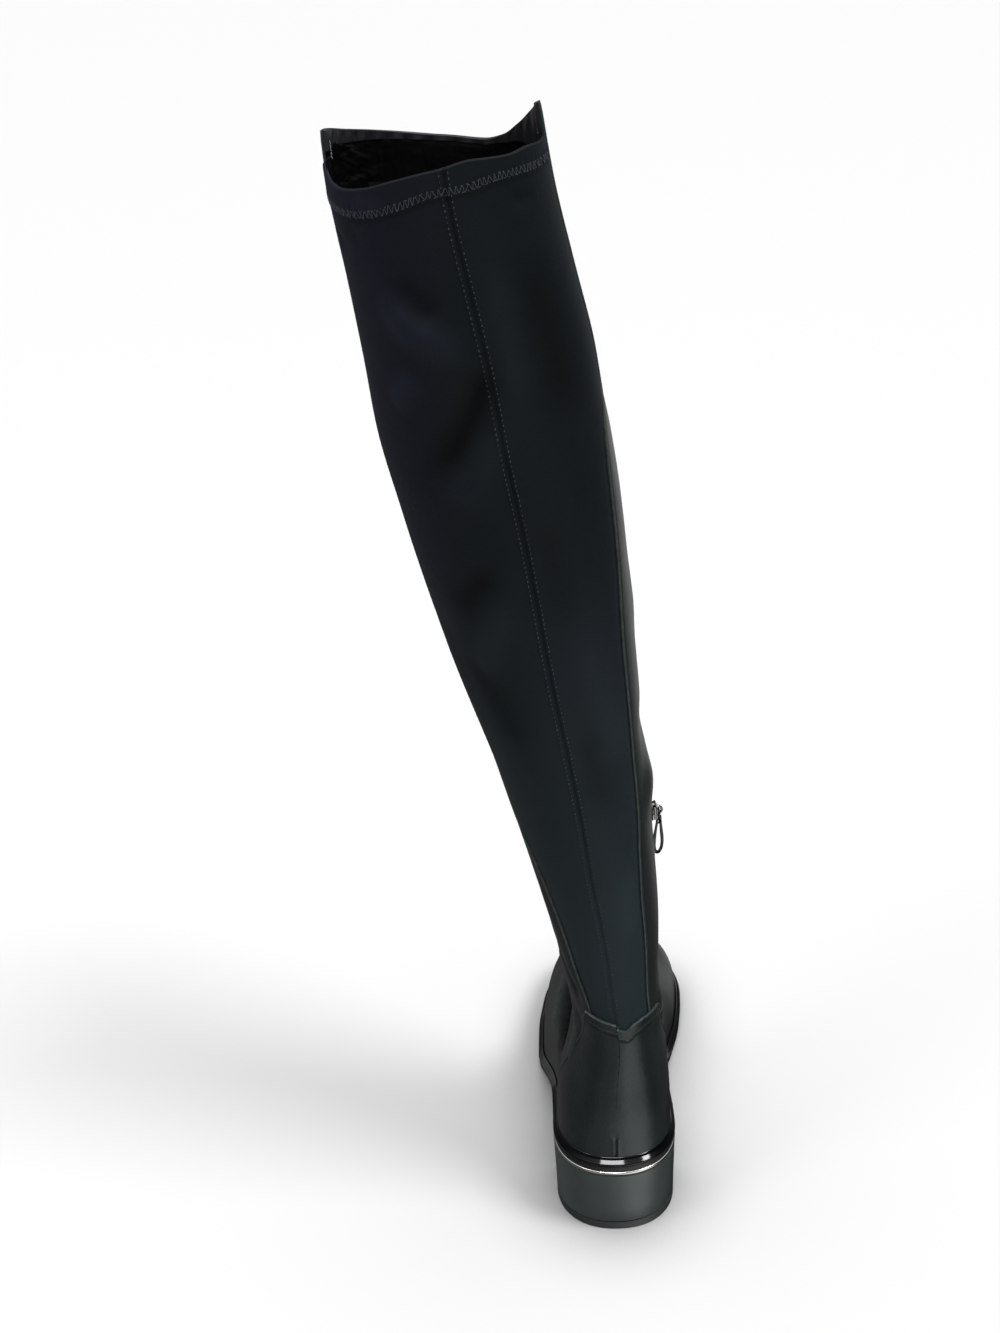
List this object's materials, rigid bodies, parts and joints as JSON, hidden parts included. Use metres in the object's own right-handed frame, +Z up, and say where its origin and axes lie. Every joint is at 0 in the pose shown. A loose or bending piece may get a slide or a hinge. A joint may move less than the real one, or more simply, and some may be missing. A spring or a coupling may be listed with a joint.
{
  "type": "over-the-knee boot",
  "caption": "Left over-the-knee boot: leather front, stretch back panel, heel counter, low block heel under a metal trim, and an inner ankle zip whose pull swings.",
  "frame": {"origin": "on the floor under the middle of the top lift", "axes": "+Z up; the toes point along -Y; +X is the outer side of the left leg, and the zip is on the inner side, -X"},
  "size_m": [0.1824, 0.277, 0.6536],
  "materials": {
    "upper_leather": "smooth black leather, soft sheen; the back panel is matte stretch fabric",
    "counter_leather": "smooth black leather, soft sheen",
    "lining": "black lining",
    "glossy_rand": "high gloss black",
    "sole_rubber": "black, fine tread",
    "silver_trim": "polished silver",
    "satin_heel": "satin black lacquer",
    "lift_rubber": "matte black",
    "zip_coil": "black nylon coil",
    "nickel": "polished nickel",
    "pull_nickel": "polished nickel"
  },
  "bodies": {
    "boot": {"upper": "upper_leather", "heel_counter": "counter_leather", "insole": "lining", "rand": "glossy_rand", "outsole": "sole_rubber", "metal_trim": "silver_trim", "heel_block": "satin_heel", "top_lift": "lift_rubber", "zip_chain": "zip_coil", "zip_slider": "nickel"},
    "pull": {"zip_pull": "pull_nickel"}
  },
  "joints": [
    {"name": "pull_hinge", "type": "hinge", "parent": "boot", "child": "pull", "pos_m": [-0.03153, -0.0483, 0.25448], "axis": [-0.1931, 0.9812, 0], "range_deg": [0, 165]}
  ]
}
